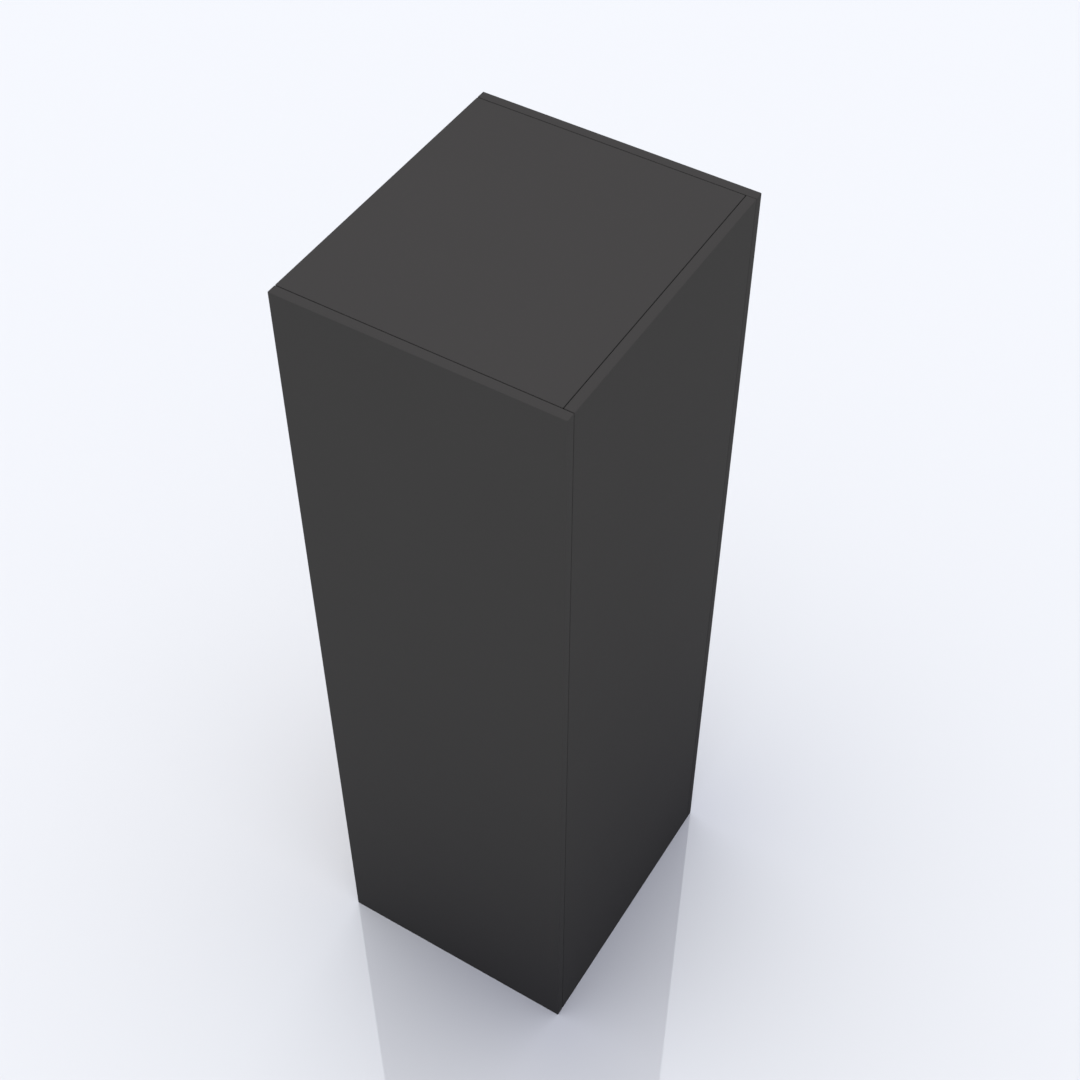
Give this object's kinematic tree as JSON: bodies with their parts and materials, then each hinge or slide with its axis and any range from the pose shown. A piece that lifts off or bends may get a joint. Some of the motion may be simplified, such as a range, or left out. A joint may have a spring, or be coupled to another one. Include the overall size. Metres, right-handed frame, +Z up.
{
  "type": "display plinth",
  "caption": "Tall square-cornered display plinth in matte charcoal: a flush panelled box, open at the back, on hidden battens.",
  "frame": {"origin": "on the floor, at the middle of the footprint", "axes": "+Z up; -Y out of the front panel; +Y out of the open back; +X to the right-hand side panel as seen from the front"},
  "size_m": [0.4, 0.35, 1.2],
  "materials": {
    "charcoal_lacquer": "fibreboard sprayed with dead-matt charcoal lacquer on its outer faces and edges",
    "raw_fibreboard": "unfinished medium-density fibreboard",
    "planed_softwood": "planed pine, unfinished",
    "zinc_plated_steel": "bright zinc plate"
  },
  "bodies": {
    "root": {"base_cleat_front": "planed_softwood", "base_cleat_front_screw_1": "zinc_plated_steel", "base_cleat_front_screw_2": "zinc_plated_steel", "base_cleat_left": "planed_softwood", "base_cleat_left_screw_1": "zinc_plated_steel", "base_cleat_left_screw_2": "zinc_plated_steel", "base_cleat_right": "planed_softwood", "base_cleat_right_screw_1": "zinc_plated_steel", "base_cleat_right_screw_2": "zinc_plated_steel", "base_panel": "raw_fibreboard", "base_panel_screw_left": "zinc_plated_steel", "base_panel_screw_right": "zinc_plated_steel", "front_panel": "charcoal_lacquer", "left_side_panel": "charcoal_lacquer", "lower_corner_batten_left": "planed_softwood", "lower_corner_batten_left_front_screw_1": "zinc_plated_steel", "lower_corner_batten_left_front_screw_2": "zinc_plated_steel", "lower_corner_batten_left_side_screw_1": "zinc_plated_steel", "lower_corner_batten_left_side_screw_2": "zinc_plated_steel", "lower_corner_batten_right": "planed_softwood", "lower_corner_batten_right_front_screw_1": "zinc_plated_steel", "lower_corner_batten_right_front_screw_2": "zinc_plated_steel", "lower_corner_batten_right_side_screw_1": "zinc_plated_steel", "lower_corner_batten_right_side_screw_2": "zinc_plated_steel", "right_side_panel": "charcoal_lacquer", "shelf_cleat_front": "planed_softwood", "shelf_cleat_front_screw_1": "zinc_plated_steel", "shelf_cleat_front_screw_2": "zinc_plated_steel", "shelf_cleat_left": "planed_softwood", "shelf_cleat_left_screw_1": "zinc_plated_steel", "shelf_cleat_left_screw_2": "zinc_plated_steel", "shelf_cleat_right": "planed_softwood", "shelf_cleat_right_screw_1": "zinc_plated_steel", "shelf_cleat_right_screw_2": "zinc_plated_steel", "shelf_panel": "raw_fibreboard", "shelf_panel_screw_left": "zinc_plated_steel", "shelf_panel_screw_right": "zinc_plated_steel", "top_cleat_front": "planed_softwood", "top_cleat_front_screw_1": "zinc_plated_steel", "top_cleat_front_screw_2": "zinc_plated_steel", "top_cleat_left": "planed_softwood", "top_cleat_left_screw_1": "zinc_plated_steel", "top_cleat_left_screw_2": "zinc_plated_steel", "top_cleat_right": "planed_softwood", "top_cleat_right_screw_1": "zinc_plated_steel", "top_cleat_right_screw_2": "zinc_plated_steel", "top_panel": "charcoal_lacquer", "top_panel_screw_left": "zinc_plated_steel", "top_panel_screw_right": "zinc_plated_steel", "upper_corner_batten_left": "planed_softwood", "upper_corner_batten_left_front_screw_1": "zinc_plated_steel", "upper_corner_batten_left_front_screw_2": "zinc_plated_steel", "upper_corner_batten_left_side_screw_1": "zinc_plated_steel", "upper_corner_batten_left_side_screw_2": "zinc_plated_steel", "upper_corner_batten_right": "planed_softwood", "upper_corner_batten_right_front_screw_1": "zinc_plated_steel", "upper_corner_batten_right_front_screw_2": "zinc_plated_steel", "upper_corner_batten_right_side_screw_1": "zinc_plated_steel", "upper_corner_batten_right_side_screw_2": "zinc_plated_steel"}
  },
  "joints": []
}
